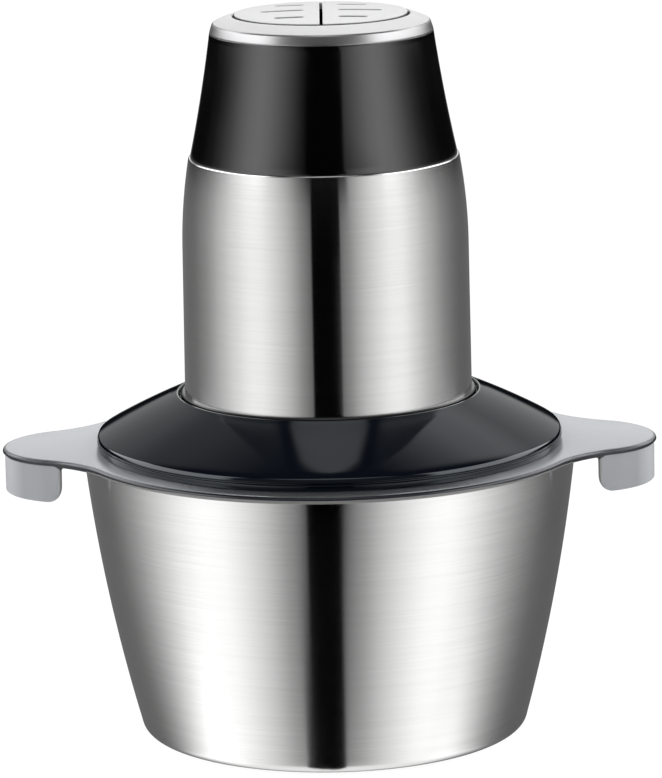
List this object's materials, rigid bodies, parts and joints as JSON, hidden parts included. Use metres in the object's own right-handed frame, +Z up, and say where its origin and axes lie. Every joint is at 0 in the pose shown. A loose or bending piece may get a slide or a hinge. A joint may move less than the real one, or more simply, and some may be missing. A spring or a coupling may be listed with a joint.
{
  "type": "electric food chopper",
  "caption": "Electric food chopper: eared steel bowl with swept blades on a spindle, domed plug-in lid and a lift-off motor unit with planetary gearing and half-moon push buttons.",
  "frame": {"origin": "centre of the bowl's foot, on the surface it stands on", "axes": "+Z up the drive axis, X along the line through both ears, +Y to the back, where the cable inlet is"},
  "size_m": [0.248, 0.1936, 0.2749],
  "materials": {
    "bowl_steel": "fine circumferential brushing, neutral stainless",
    "rim_steel": "pale satin stainless pressing",
    "sleeve_steel": "fine circumferential brushing, neutral stainless",
    "blade_steel": "ground and polished stainless",
    "spindle_steel": "turned stainless",
    "lid_plastic": "smoky dark slate, glossy",
    "seal_silicone": "milky silicone",
    "hub_plastic": "food-safe off-white",
    "base_plastic": "moulded black",
    "housing_plastic": "polished black",
    "top_silver": "satin silver",
    "button_silver": "satin silver",
    "grommet_rubber": "moulded black",
    "gearbox_metal": "die cast",
    "bronze": "sintered bronze",
    "gear_nylon": "natural nylon",
    "gear_steel": "cut steel",
    "frame_plastic": "glass-filled black",
    "screw_steel": "zinc-plated",
    "lamination": "stacked laminations",
    "copper": "enamelled copper",
    "brush_brass": "pressed brass",
    "carbon": "pressed carbon",
    "switch_plastic": "moulded black",
    "board": "green laminate",
    "capacitor": "yellow potted case",
    "spring_steel": "spring wire",
    "fan_plastic": "natural nylon"
  },
  "bodies": {
    "bowl": {"bowl": "bowl_steel", "bowl_spindle": "spindle_steel", "handle_ring": "rim_steel"},
    "lid": {"lid": "lid_plastic", "lid_seal": "seal_silicone"},
    "blades": {"blade_hub": "hub_plastic", "hub_bush": "bronze", "blade_nut": "spindle_steel", "blade_spacer": "hub_plastic", "lower_blades": "blade_steel", "upper_blades": "blade_steel"},
    "low_button": {"low_button": "button_silver"},
    "high_button": {"high_button": "button_silver"},
    "armature": {"motor_shaft": "spindle_steel", "armature_core": "lamination", "armature_winding": "copper", "commutator": "copper", "cooling_fan": "fan_plastic", "sun_gear": "gear_steel"},
    "output": {"planet_carrier": "gear_steel", "output_coupling": "hub_plastic"},
    "planet_1": {"planet_gear_1": "gear_nylon"},
    "planet_2": {"planet_gear_2": "gear_nylon"},
    "planet_3": {"planet_gear_3": "gear_nylon"},
    "motor_unit": {"motor_base": "base_plastic", "base_screws": "screw_steel", "steel_sleeve": "sleeve_steel", "upper_housing": "housing_plastic", "top_ring": "top_silver", "cable_inlet": "grommet_rubber", "gearbox_cover": "gearbox_metal", "output_bush": "bronze", "ring_gear": "gear_nylon", "motor_plate": "frame_plastic", "plate_screws": "screw_steel", "lower_bearing": "bronze", "stator_core": "lamination", "field_coils": "copper", "stator_bolts": "screw_steel", "brush_bridge": "frame_plastic", "upper_bearing": "bronze", "brush_holders": "brush_brass", "carbon_brushes": "carbon", "switch_plate": "frame_plastic", "switch_plate_screws": "screw_steel", "speed_switches": "switch_plastic", "control_board": "board", "suppressor": "capacitor", "low_button_spring": "spring_steel", "high_button_spring": "spring_steel"}
  },
  "joints": [
    {"name": "lid_lift", "type": "slide", "parent": "bowl", "child": "lid", "axis": [0, 0, 1], "range_m": [0, 0.15]},
    {"name": "motor_lift", "type": "slide", "parent": "lid", "child": "motor_unit", "axis": [0, 0, 1], "range_m": [0, 0.12]},
    {"name": "armature_spin", "type": "hinge", "parent": "motor_unit", "child": "armature", "pos_m": [0, 0, 0.1806], "axis": [0, 0, 1], "continuous": true},
    {"name": "output_spin", "type": "hinge", "parent": "motor_unit", "child": "output", "pos_m": [0, 0, 0.1404], "axis": [0, 0, 1], "continuous": true},
    {"name": "planet_1_spin", "type": "hinge", "parent": "output", "child": "planet_1", "pos_m": [0.0165, 0, 0.1524], "axis": [0, 0, 1], "continuous": true},
    {"name": "planet_2_spin", "type": "hinge", "parent": "output", "child": "planet_2", "pos_m": [-0.00825, 0.01429, 0.1524], "axis": [0, 0, 1], "continuous": true},
    {"name": "planet_3_spin", "type": "hinge", "parent": "output", "child": "planet_3", "pos_m": [-0.00825, -0.01429, 0.1524], "axis": [0, 0, 1], "continuous": true},
    {"name": "blade_spin", "type": "hinge", "parent": "bowl", "child": "blades", "pos_m": [0, 0, 0.03], "axis": [0, 0, 1], "continuous": true},
    {"name": "low_press", "type": "slide", "parent": "motor_unit", "child": "low_button", "axis": [0, 0, -1], "range_m": [0, 0.0025], "stiffness_N_per_m": 700, "springref_m": -0.001, "deforming": ["low_button_spring"]},
    {"name": "high_press", "type": "slide", "parent": "motor_unit", "child": "high_button", "axis": [0, 0, -1], "range_m": [0, 0.0025], "stiffness_N_per_m": 700, "springref_m": -0.001, "deforming": ["high_button_spring"]}
  ],
  "couplings": [
    {"joint": "output_spin", "follows": "armature_spin", "ratio": 0.25},
    {"joint": "blade_spin", "follows": "armature_spin", "ratio": 0.25},
    {"joint": "planet_1_spin", "follows": "armature_spin", "ratio": -0.75},
    {"joint": "planet_2_spin", "follows": "armature_spin", "ratio": -0.75},
    {"joint": "planet_3_spin", "follows": "armature_spin", "ratio": -0.75}
  ]
}
